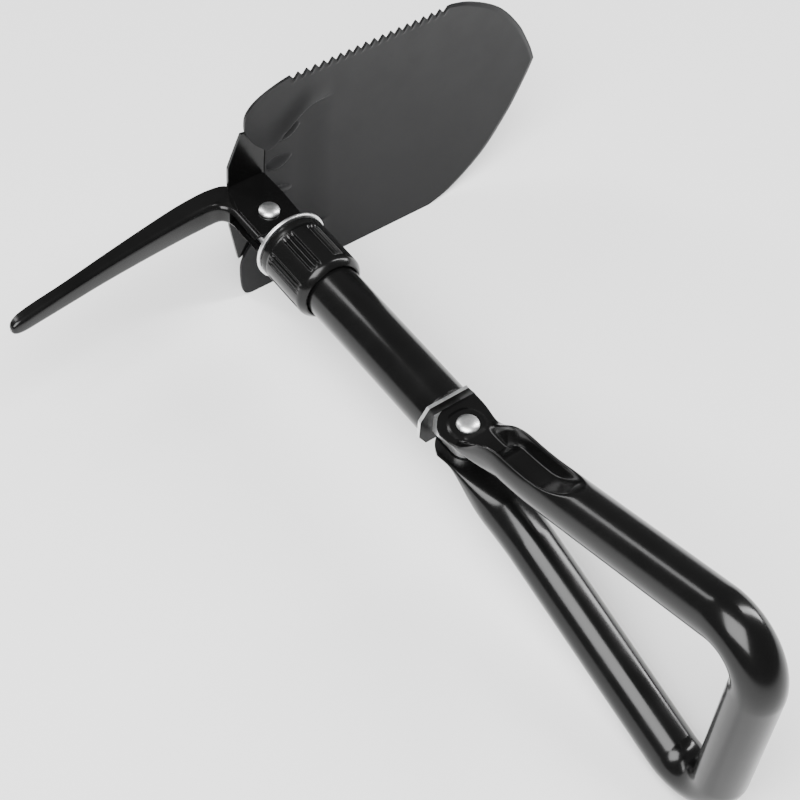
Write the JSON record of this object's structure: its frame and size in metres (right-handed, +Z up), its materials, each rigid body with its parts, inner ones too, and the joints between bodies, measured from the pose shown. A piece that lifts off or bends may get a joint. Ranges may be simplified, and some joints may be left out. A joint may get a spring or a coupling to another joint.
{
  "type": "folding camp shovel",
  "caption": "Folding camp shovel with a toothed blade, a channel pick, a threaded locking collar, a steel tube shaft and a folding D grip.",
  "frame": {"origin": "centre of the bounding box, on the surface that the tool lies on", "axes": "+X along the tube from the head to the grip, +Y the way the blade points, +Z up, from the plain side edge of the blade to the toothed one"},
  "size_m": [0.4284, 0.367, 0.155],
  "materials": {
    "blade_paint": "matte",
    "gloss_paint": "gloss",
    "zinc": "satin"
  },
  "bodies": {
    "shaft": {"main_tube": "gloss_paint", "hinge_block": "zinc", "head_rivet": "zinc", "head_washers": "zinc", "stop_plate": "zinc", "handle_tongue": "zinc", "handle_rivet": "zinc", "handle_washers": "zinc"},
    "blade": {"blade": "blade_paint", "blade_bracket": "gloss_paint"},
    "pick": {"pick": "gloss_paint"},
    "collar": {"collar_ring": "zinc", "collar": "gloss_paint"},
    "handle": {"d_handle": "gloss_paint"}
  },
  "joints": [
    {"name": "blade_fold", "type": "hinge", "parent": "shaft", "child": "blade", "pos_m": [-0.1836, -0.0275, 0.0775], "axis": [0, 0, 1], "range_deg": [-90, 0]},
    {"name": "pick_fold", "type": "hinge", "parent": "shaft", "child": "pick", "pos_m": [-0.1836, -0.0275, 0.0775], "axis": [0, 0, 1], "range_deg": [0, 78]},
    {"name": "collar_turn", "type": "hinge", "parent": "shaft", "child": "collar", "pos_m": [-0.1436, -0.0275, 0.0775], "axis": [1, 0, 0], "range_deg": [0, 540]},
    {"name": "handle_fold", "type": "hinge", "parent": "shaft", "child": "handle", "pos_m": [-0.0031, -0.0275, 0.0775], "axis": [0, 0, 1], "range_deg": [-90, 0]}
  ]
}
